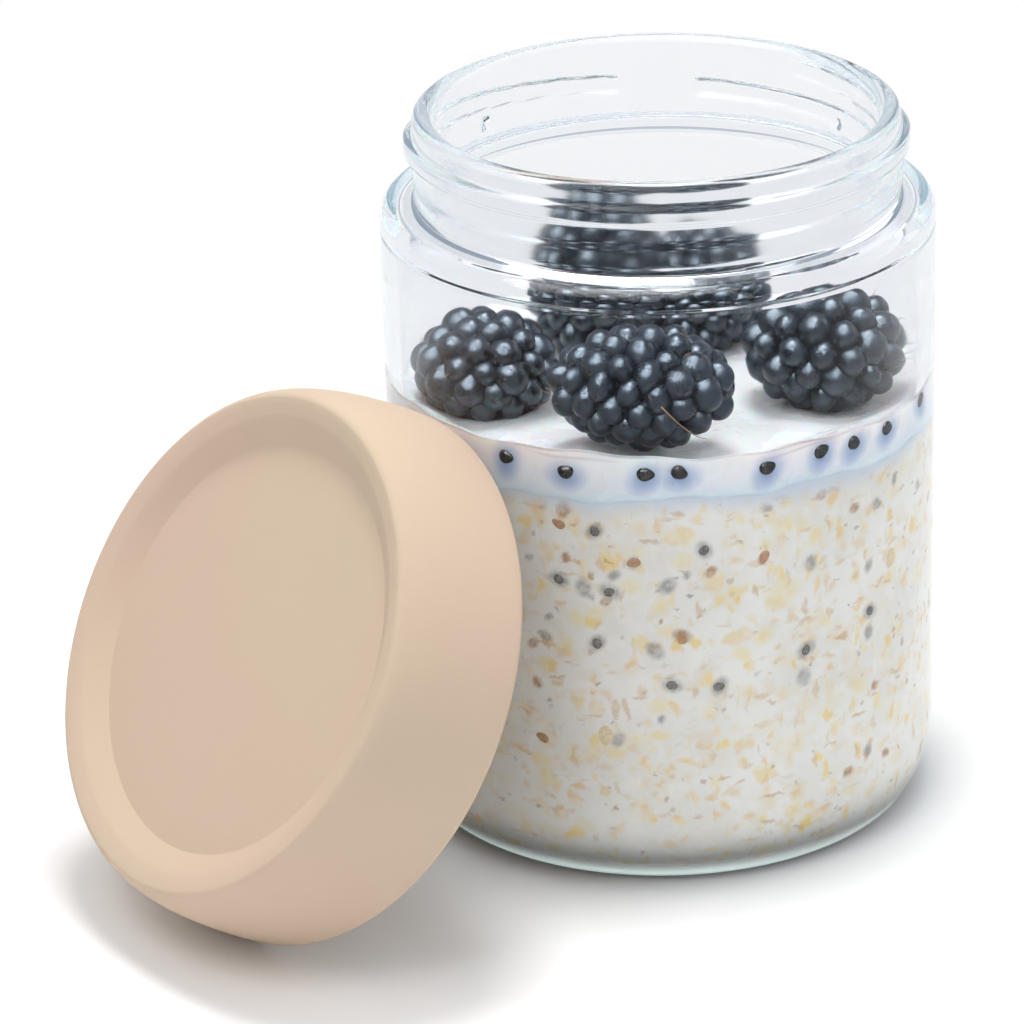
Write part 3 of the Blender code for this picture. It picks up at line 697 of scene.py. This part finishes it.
def lid_frame(frame):
    """The lid's own frame at rest, with its open rim's middle at 0."""
    slide = next(joint for joint in frame["joints"] if joint["name"] == "seal_slide")
    axis = -Vector(slide["axis"]).normalized()
    low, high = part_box("lid_seal")
    middle = (Vector(low) + Vector(high)) / 2
    across = Vector((0, 1, 0))
    turned = Matrix((across.cross(axis), across, axis)).transposed().to_4x4()
    return Matrix.Translation(middle - axis * SEAL_MIDDLE) @ turned


def lug_swell(radius, height, bearing):
    """How far the lugs stand in from the lid's inner wall."""
    span = 360.0 / LUGS
    off_middle = np.abs((bearing + span / 2) % span - span / 2)
    along = np.clip((LUG_SPAN / 2 - off_middle) / (LUG_SPAN / 4), 0.0, 1.0)
    wall = (np.abs(radius - LID_INNER_RADIUS) < 0.0003) & (height < LID_CEILING - 0.002)
    return np.where(wall, -LUG_HEIGHT * along * bump_shape(height - LUG_LEVEL, LUG_HALF_WIDTH), 0.0)


def lid_outline():
    rib_in, rib_out, rib_drop, rib_rounding = LID_RIB
    foot_width, foot_height = LID_FOOT
    crest = LID_CREST_RADIUS - LID_CREST_FLAT
    foot = LID_RADIUS - foot_width
    band = [(0.0, LID_DISC_HEIGHT, 0), (LID_DISC_RADIUS, LID_DISC_HEIGHT, LID_CORNER),
            (LID_CREST_RADIUS - LID_CREST_ROUNDING, LID_DEPTH - LID_BAND_DROP, LID_CREST_ROUNDING),
            (crest, LID_DEPTH, 0)]
    outline = finer(rounded(band, 10), LID_ROW)
    outline += ellipse(crest, LID_SIDE_START, LID_RADIUS - crest, LID_DEPTH - LID_SIDE_START, 88, 0, 30)
    outline += ellipse(foot, foot_height, foot_width, foot_height, -10, -90, 8)
    rib = [(rib_out, LID_CEILING), (rib_out, LID_CEILING - rib_drop), (rib_in, LID_CEILING - rib_drop),
           (rib_in, LID_CEILING)]
    inside = [(foot, 0.0, 0), (LID_INNER_RADIUS, 0.0, LID_CORNER),
              (LID_INNER_RADIUS, LID_CEILING, LID_CEILING_ROUNDING)]
    inside += [(*corner, rib_rounding) for corner in rib] + [(0.0, LID_CEILING, 0)]
    outline += finer(rounded(inside, 5), LID_INNER_ROW)[1:]
    return outline


def make_lid(stand):
    turned_piece("beige_lid", lid_outline(), AROUND, stand, lid_material(),
                 "matte_beige", "lid", "lid", swell=lug_swell)


def make_seal(stand):
    inner, outer = SEAL_RADII
    low, high = SEAL_HEIGHTS
    # The ring's outline starts and ends on its flat top.
    start = (outer - 2 * SEAL_ROUNDING, high, 0)
    corners = [(outer, high), (outer, low), (inner, low), (inner, high)]
    ring = [start] + [(*corner, SEAL_ROUNDING) for corner in corners] + [start]
    turned_piece("silicone_seal", rounded(ring, 5), AROUND, stand, silicone_material(),
                 "white_silicone", "seal", "lid_seal")


# Contents


def from_axis(points, centre):
    """Offsets of points from the jar's axis, bearings in radians and distances."""
    x, y = points[:, 0] - centre[0], points[:, 1] - centre[1]
    return x, y, np.arctan2(y, x), np.hypot(x, y)


def spots_paint(points, centre, spots, softness):
    """Strength, 0 to 1, of soft spots at the glass."""
    _, _, bearing, radius = from_axis(points, centre)
    paint = np.zeros(len(points))
    for spot_bearing, spot_height, spot_radius in spots:
        turn = (bearing - radians(spot_bearing) + np.pi) % (2 * np.pi) - np.pi
        # Each spot is a little uneven, wider along a direction of its own.
        lean = spot_bearing * 1.7
        across, up = turn * radius, points[:, 2] - spot_height
        along = across * cos(lean) + up * sin(lean)
        aside = up * cos(lean) - across * sin(lean)
        distance = np.hypot(along / 1.15, aside / 0.85) / spot_radius
        paint = np.maximum(paint, np.clip((1 - distance) / softness + 0.5, 0, 1))
    return smooth(paint)


def random_spots(count, seed, radius):
    """Random spots at the glass, each a bearing in degrees, a height and a radius."""
    chance = random.Random(seed)
    spots = []
    for index in range(count):
        bearings, heights = HIGH_SPOTS if index % 3 else LOW_SPOTS
        bearing = chance.uniform(*bearings) % 360
        spots.append((bearing, chance.uniform(*heights), radius * chance.uniform(0.5, 1.1)))
    return spots


def set_attribute(piece, name, values):
    attribute = piece.data.attributes.new(name, "FLOAT", "POINT")
    attribute.data.foreach_set("value", np.asarray(values, np.float32))


def piece_points(piece):
    points = np.zeros(len(piece.data.vertices) * 3)
    piece.data.vertices.foreach_get("co", points)
    return points.reshape(-1, 3)


def reshape(piece, points):
    piece.data.vertices.foreach_set("co", points.ravel())
    piece.data.update()


def at_seed(spot, seeds, radius):
    """The spot, or its copy around the nearest seed if one is within reach."""
    bearing, height, size = spot
    gap, nearest = min((hypot(radians(seed[0] % 360 - bearing) * radius, seed[1] - height), seed)
                       for seed in seeds)
    return (*nearest, size) if gap < SEED_REACH else spot


def make_oats(centre, inner, seeds):
    outline = [(0.0, BASE_THICKNESS - 0.0001)] + inner_heel(inner, 22, TOUCH)
    outline += finer([(inner + TOUCH, HEEL_HEIGHT), (inner + TOUCH, OATS_TOP)], OATS_ROW)[1:]
    outline += [(inner - 0.002, OATS_TOP), (0.0, OATS_TOP)]
    oats = turned_piece("layered_oats", outline, 2 * AROUND, standing(centre), oats_material(),
                        "soaked_oats", "jar", "oats", sharp=EDGE_ANGLE)
    points = piece_points(oats)
    bearing = from_axis(points, centre)[2]
    rise = np.clip((points[:, 2] - OATS_WAVES_FROM) / (OATS_TOP - OATS_WAVES_FROM), 0, 1)
    points[:, 2] += rise * waves(bearing, OATS_EDGE_WAVES)
    reshape(oats, points)
    for name, (_, _, softness, count, seed, radius) in SPOT_LOOKS.items():
        spots = SPOTS[name]
        if name == "grey":
            spots = [at_seed(spot, seeds, radius=inner) for spot in spots]
        spots = spots + random_spots(count, seed, radius)
        set_attribute(oats, name, spots_paint(points, centre, spots, softness))


def berry_floor(points, berries):
    """Height of the berries' undersides, or infinity where none is, and the gap to the nearest berry."""
    floor = np.full(len(points), np.inf)
    nearest = np.full(len(points), np.inf)
    for middle, radii, heading in berries:
        local = (points - np.array(middle)) @ turning(heading)
        share = (local[:, 0] / radii[0]) ** 2 + (local[:, 1] / radii[1]) ** 2
        under = middle[2] - radii[2] * np.sqrt(np.clip(1 - share, 0, 1))
        floor = np.minimum(floor, np.where(share < 1, under, np.inf))
        # Distance outside the outline of the berry at the yogurt's level.
        level = max(0.05, 1 - ((middle[2] - YOGURT_TOP) / radii[2]) ** 2)
        gap = (np.sqrt(share) - sqrt(level)) * min(radii[0], radii[1])
        nearest = np.minimum(nearest, gap)
    return floor, nearest


def make_yogurt(centre, inner, berries, seeds):
    edge = inner + TOUCH
    outline = [(0.0, OATS_TOP), (inner - 0.001, OATS_TOP)]
    outline += finer([(edge, OATS_TOP), (edge, YOGURT_TOP + YOGURT_LIP)], YOGURT_ROW)
    outline += finer([(edge - YOGURT_LIP, YOGURT_TOP), (0.0, YOGURT_TOP)], YOGURT_RING)
    yogurt = turned_piece("spooned_yogurt", outline, 2 * AROUND, standing(centre), yogurt_material(),
                          "plain_yogurt", "jar", "yogurt", sharp=EDGE_ANGLE)
    points = piece_points(yogurt)
    x, y, bearing, radius = from_axis(points, centre)
    rise = (points[:, 2] - OATS_TOP) / (YOGURT_TOP - OATS_TOP)
    # The edge at the glass wanders, and the surface inside it has soft spooned waves.
    wander = waves(bearing, YOGURT_EDGE_WAVES)
    inward = smooth(np.clip((edge - radius) / YOGURT_BANK, 0, 1))
    spooned = 0.0005 * np.sin(x / 0.0048 + 1) + 0.0005 * np.cos(y / 0.0052 + x / 0.011)
    spooned += 0.0002 * np.sin((x - y) / 0.0023)
    above = wander * (1 - inward) + inward * (spooned - YOGURT_DISH)
    shift = (1 - rise) * waves(bearing, OATS_EDGE_WAVES) + rise * above
    floor, nearest = berry_floor(points, berries)
    climb_height, climb_reach = BERRY_CLIMB
    climb = climb_height * np.exp(-np.clip(nearest, 0, None) / climb_reach)
    top = rise > 0.99
    shift += np.where(top & (nearest < 0.02), climb * inward, 0)
    points[:, 2] += shift
    points[:, 2] = np.where(top, np.minimum(points[:, 2], floor + BERRY_SINK), points[:, 2])
    reshape(yogurt, points)
    band_top, band_height, band_strength = BLUE_TINT_BAND
    band = np.clip((band_top - points[:, 2]) / band_height, 0, 1) * band_strength
    drop, stain_radius, strength, softness = SEED_TINT
    seed_tints = [(bearing_of_seed, height - drop, stain_radius) for bearing_of_seed, height in seeds]
    halos = strength * spots_paint(points, centre, seed_tints, softness)
    depth, width = PAINT_DEPTH
    side = np.clip((radius - edge + depth) / width, 0, 1)
    set_attribute(yogurt, "blue_tint", np.clip(np.maximum(band, halos) * side, 0, 1))
    # A thin grey line of painted shade where the yogurt's film ends on the glass, stronger here and there.
    level = YOGURT_TOP + wander
    second = level - 0.0007 + 0.0005 * np.sin(9 * bearing + 2)
    lines = ((level, 0.55 + 0.35 * np.sin(5 * bearing) * np.sin(13 * bearing + 1)),
             (second, np.clip(0.4 * np.sin(7 * bearing + 0.5), 0, 1)))
    line = sum(np.exp(-((points[:, 2] - height) / SHADE_LINE_WIDTH) ** 2) * uneven for height, uneven in lines)
    set_attribute(yogurt, "line", np.clip(line * side, 0, 1))


# Berries


def spread_points(radii, count, seed):
    """Points spread evenly over an ellipsoid."""
    chance = np.random.default_rng(seed)
    index = np.arange(count) + 0.5
    height = 1 - 2 * index / count
    angle = pi * (3 - sqrt(5)) * index
    ring = np.sqrt(1 - height ** 2)
    points = np.stack([height, ring * np.cos(angle), ring * np.sin(angle)], 1)
    points += chance.normal(0, SPREAD_JITTER, (count, 3))
    points *= radii
    step = SPREAD_STEP * np.mean(radii)
    for _ in range(SPREAD_ROUNDS):
        points = unit(points / radii) * radii
        apart = points[:, None] - points[None]
        distance = np.linalg.norm(apart, axis=2) + np.eye(count)
        push = (apart / distance[..., None] ** 5).sum(1)
        push /= np.abs(push).max()
        points += push * step
        step *= SPREAD_FADE
    return unit(points / radii) * radii


def ball_template(around, rings, reach=112.0):
    """Closed ball with its pole along Z: an outer cap, and a cone from its rim to the middle."""
    outline = [(0.0, 1.0)]
    for ring in range(1, rings + 1):
        angle = radians(reach) * ring / rings
        outline.append((sin(angle), cos(angle)))
    outline.append((0.0, -0.2))
    vertices, faces = lathe(outline, around)
    used = sorted({index for face in faces for index in face})
    number = {index: place for place, index in enumerate(used)}
    return vertices[used], [tuple(number[index] for index in reversed(face)) for face in faces]


def make_berry(key, middle, radii, heading, count, seed, material):
    chance = np.random.default_rng(seed)
    radii = np.array(radii)
    spots = spread_points(radii, count, seed)
    normals = unit(spots / radii ** 2)
    # The ellipsoid's area, shared out in a honeycomb.
    area = 4 * pi * ((radii * np.roll(radii, 1)) ** AREA_POWER).mean() ** (1 / AREA_POWER)
    spacing = sqrt(area / count / HONEYCOMB)
    ball, ball_faces = ball_template(*DRUPELET_STEPS)
    core, faces = ball_template(36, 18, 180.0)
    vertices = [core * (radii - CORE_DEPTH * spacing)]
    own = [np.zeros(len(core))]
    start = len(core)
    for spot, normal in zip(spots, normals):
        side = unit(np.cross(normal, (0.0, 0.0, 1.0) if abs(normal[2]) < 0.9 else (1.0, 0.0, 0.0)))
        turn = chance.uniform(-0.5, 0.5)
        side = side * cos(turn) + np.cross(normal, side) * sin(turn)
        ahead = np.cross(normal, side)
        size = spacing * chance.uniform(*DRUPELET_SIZE)
        stretch = chance.uniform(*DRUPELET_STRETCH)
        high = size * chance.uniform(*DRUPELET_HEIGHT)
        # A slight dent on the crown, so that no drupelet is a perfect ball.
        dent = 1 - 0.05 * np.exp(-((ball[:, 0] - 0.2) ** 2 + ball[:, 1] ** 2) / 0.08)
        shape = (ball[:, :1] * side * size / stretch + ball[:, 1:2] * ahead * size * stretch
                 + ball[:, 2:] * dent[:, None] * normal * high)
        vertices.append(spot - normal * (high + chance.uniform(*DRUPELET_DEPTH)) + shape)
        faces += [tuple(index + start for index in face) for face in ball_faces]
        own.append(np.full(len(ball), chance.uniform(0, 1)))
        start += len(ball)
    points = np.concatenate(vertices) @ turning(heading).T + np.array(middle)
    berry = new_piece(key + "_berry", points, faces, material, "berry", "jar", "berry_" + key)
    set_attribute(berry, "drupelet", np.concatenate(own))


def make_styles(berries, material):
    """Fine dry styles that stand between the drupelets."""
    chance = np.random.default_rng(21)
    vertices, faces = [], []
    for middle, radii, heading in berries:
        for _ in range(STYLES):
            way = unit(chance.normal(0, 1, 3))
            root = way * np.array(radii) * 0.93
            if root[2] < -0.3 * radii[2]:
                continue
            outward = way * chance.uniform(*STYLE_LENGTH)
            aside = unit(np.cross(way, chance.normal(0, 1, 3))) * chance.uniform(*STYLE_CURL)
            line = [root + outward * s + aside * s * s for s in np.linspace(0, 1, 7)]
            line = np.array(line) @ turning(heading).T + np.array(middle)
            add_hair(vertices, faces, line, chance.uniform(*STYLE_RADIUS))
    add_hair(vertices, faces, golden_line(berries[0]), GOLDEN_RADIUS)
    new_piece("dry_styles", vertices, faces, material, "flax", "jar")


def golden_line(berry):
    """One golden style over the lower front of a berry."""
    middle, radii, heading = berry
    share = np.linspace(0, 1, 16)
    along, up = -0.25 - 0.42 * share, 0.05 - 0.75 * share
    out = np.sqrt(1.06 - along ** 2 - up ** 2)
    return np.stack([along, out, up], 1) * radii @ turning(heading).T + np.array(middle)


def add_hair(vertices, faces, line, radius, sides=5):
    """Adds a closed thin tube that tapers along a line."""
    start = len(vertices)
    last = len(line) - 1
    for index, point in enumerate(line):
        ahead = unit(line[min(index + 1, last)] - line[max(index - 1, 0)])
        side = unit(np.cross(ahead, (0.3, 0.5, 0.8)))
        other = np.cross(ahead, side)
        thick = radius * (1 - 0.6 * index / last)
        for step in range(sides):
            angle = 2 * pi * step / sides
            vertices.append(point + (side * cos(angle) + other * sin(angle)) * thick)
    for index in range(last):
        for step in range(sides):
            after = (step + 1) % sides
            low, high = start + index * sides, start + (index + 1) * sides
            faces.append((low + step, low + after, high + after, high + step))
    faces.append(tuple(start + step for step in reversed(range(sides))))
    faces.append(tuple(start + last * sides + step for step in range(sides)))


# Seeds and flakes


def grain_axes(node):
    """Middle of a CAD seed or flake, its directions from long to short, and its half sizes."""
    points = np.array([vertex.co[:] for vertex in node.data.vertices])
    middle = (points.max(0) + points.min(0)) / 2
    spread = points - points.mean(0)
    _, _, axes = np.linalg.svd(spread, full_matrices=False)
    half = np.abs(spread @ axes.T).max(0)
    return middle, axes, half


def make_grains(name, nodes, centre, inner, skins):
    """One piece of rounded grains, each where its CAD grain is, pressed to the glass."""
    kind, slot, proud, thickness, taper, grow = GRAINS[name]
    ball, ball_faces = ball_template(20, 12, 180.0)
    vertices, faces = [], []
    names = sorted(key for key in nodes if key.startswith(kind))
    for number, key in enumerate(names):
        middle, axes, half = grain_axes(nodes[key])
        half = half * grow
        outward = unit(middle - np.array((*centre, middle[2])))
        along = unit(axes[0] - outward * (axes[0] @ outward))
        aside = np.cross(outward, along)
        lump = 1 + 0.06 * np.sin(3 * ball[:, 0] + number) * np.cos(2 * ball[:, 1] + 1.3 * number)
        narrow = 1 - taper * ball[:, 0]
        shape = (ball[:, :1] * along * half[0] + (ball[:, 1] * narrow)[:, None] * aside * half[1]
                 + (ball[:, 2] * narrow)[:, None] * outward * thickness) * lump[:, None]
        reach = inner + proud - thickness - np.linalg.norm(middle[:2] - np.array(centre))
        points = middle + outward * reach + shape
        # Bend the grain to the round wall.
        flat = (points - middle) @ (aside if abs(aside[2]) < 0.5 else along)
        points -= outward * (flat ** 2 / (2 * inner))[:, None]
        vertices.append(points)
        faces += [tuple(index + number * len(ball) for index in face) for face in ball_faces]
    clean(new_piece(name, np.concatenate(vertices), faces, skins[slot], slot, "jar", *names))


def seed_places(nodes, kind, centre):
    """Bearing in degrees and height of each CAD seed of a kind."""
    middles = [grain_axes(nodes[key])[0] for key in sorted(nodes) if key.startswith(kind)]
    return [(degrees(atan2(y - centre[1], x - centre[0])), z) for x, y, z in middles]


def make_contents(frame, centre, inner):
    berries = []
    skin = berry_material()
    for seed, (key, (radii, heading, count, way)) in enumerate(BERRIES.items(), start=3):
        first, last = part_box("berry_" + key)
        middle = (Vector(first) + Vector(last)) / 2 + Vector(way)
        berries.append((middle, radii, heading))
        make_berry(key, middle, radii, heading, count, seed, skin)
    make_styles(berries, hair_material())
    nodes = frame["nodes"]
    make_oats(centre, inner, seed_places(nodes, "oats_chia_seed", centre))
    make_yogurt(centre, inner, berries, seed_places(nodes, "yogurt_chia_seed", centre))
    skins = {
        "dark_chia": seed_material("black_chia_skin", (0.006, 0.006, 0.007, 1), (0.05, 0.045, 0.04, 1), 0.25),
        "grey_chia": seed_material("grey_chia_skin", rgb(98, 96, 94), rgb(140, 134, 124), 0.5),
        "flax": seed_material("flax_skin", rgb(170, 132, 98), rgb(192, 152, 116), 0.4),
        "oat_flake": seed_material("oat_flake_skin", rgb(230, 214, 182), rgb(222, 200, 156), 0.55),
    }
    for name in GRAINS:
        make_grains(name, nodes, centre, inner, skins)


# Stage


def make_stage():
    bpy.ops.mesh.primitive_plane_add(size=FLOOR_SIZE, location=(0, 0, 0))
    floor = bpy.context.object
    floor.name = "floor"
    nodes = Nodes("pale_floor")
    fade = nodes.add("VectorMath", {0: nodes.place()}, operation="LENGTH")["Value"]
    path = nodes.add("LightPath")
    seen = nodes.most(path["Is Camera Ray"], path["Is Glossy Ray"], path["Is Transmission Ray"])
    nodes.set(Base_Color=(0.9, 0.9, 0.905, 1), Roughness=0.7, Specular_IOR_Level=0.2)
    white = nodes.add("Emission", {"Color": (1, 1, 1, 1), "Strength": 1.0})
    faded = nodes.times(seen, nodes.ease(fade, *FLOOR_FADE))
    nodes.blend(faded, nodes.shader.outputs, white)
    floor.data.materials.append(nodes.owner)


def make_world():
    nodes = Nodes("studio", world=True)
    bpy.context.scene.world = nodes.owner
    path = nodes.add("LightPath")
    seen = nodes.most(path["Is Camera Ray"], path["Is Glossy Ray"], path["Is Transmission Ray"])
    upward = nodes.height(nodes.add("TexCoord")["Generated"])
    strength = nodes.ease(upward, 0.0, 1.0, *AMBIENT_LIGHT, kind="LINEAR")
    ambient = nodes.add("Background", {"Color": AMBIENT_COLOUR, "Strength": strength})
    rise = nodes.ease(upward, *BACKDROP_FADE)
    # Gloss shows the dim room; glass shows what is behind it, where the backdrop reaches higher.
    through = {0: path["Is Transmission Ray"], 1: -GLASS_BACKDROP, 2: 1.0}
    less = nodes.add("Math", through, operation="MULTIPLY_ADD")[0]
    share = nodes.times(rise, less)
    # Whatever has glanced off a berry first sees a dimmer room still.
    glanced = nodes.math("MULTIPLY", path["Glossy Depth"], GLANCE_DIMMING, clamp=True)
    shade = nodes.mix(nodes.most(share, glanced), (1, 1, 1, 1), DIM_ROOM)
    backdrop = nodes.add("Background", {"Color": shade, "Strength": 1.0})
    nodes.blend(seen, ambient, backdrop)


def make_lamps():
    """Square softboxes that look at the jar."""
    for name, (spot, size, radiance) in LAMPS.items():
        data = bpy.data.lights.new(name, "AREA")
        data.shape = "SQUARE"
        data.size = size
        data.energy = radiance * pi * size * size
        lamp = new_object(name, data)
        lamp.location = spot
        lamp.rotation_euler = (Vector(spot) - Vector(LAMP_TARGET)).to_track_quat("Z", "Y").to_euler()
        lamp.visible_diffuse = name != GLOSS_LAMP


def make_camera(centre):
    data = bpy.data.cameras.new("camera")
    data.sensor_width = SENSOR_WIDTH
    data.lens = FOCAL_LENGTH
    camera = new_object("camera", data)
    camera.location = (centre[0] + CAMERA_DISTANCE * cos(CAMERA_BEARING),
                       centre[1] + CAMERA_DISTANCE * sin(CAMERA_BEARING), CAMERA_HEIGHT)
    heading = CAMERA_BEARING + pi / 2
    turn = Matrix.Rotation(heading - CAMERA_YAW, 3, "Z") @ Matrix.Rotation(pi / 2 - CAMERA_PITCH, 3, "X")
    camera.rotation_euler = (turn @ Matrix.Rotation(-CAMERA_ROLL, 3, "Z")).to_euler()
    bpy.context.scene.camera = camera


def main():
    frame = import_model()
    low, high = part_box("glass_jar")
    centre = ((low[0] + high[0]) / 2, (low[1] + high[1]) / 2)
    bpy.context.scene.view_settings.view_transform = "Standard"
    make_camera(centre)
    make_world()
    make_lamps()
    make_stage()
    outer = (high[0] - low[0]) / 2
    make_jar(centre, outer, high[2])
    stand = lid_frame(frame)
    make_lid(stand)
    make_seal(stand)
    make_contents(frame, centre, outer - GLASS_WALL)


main()
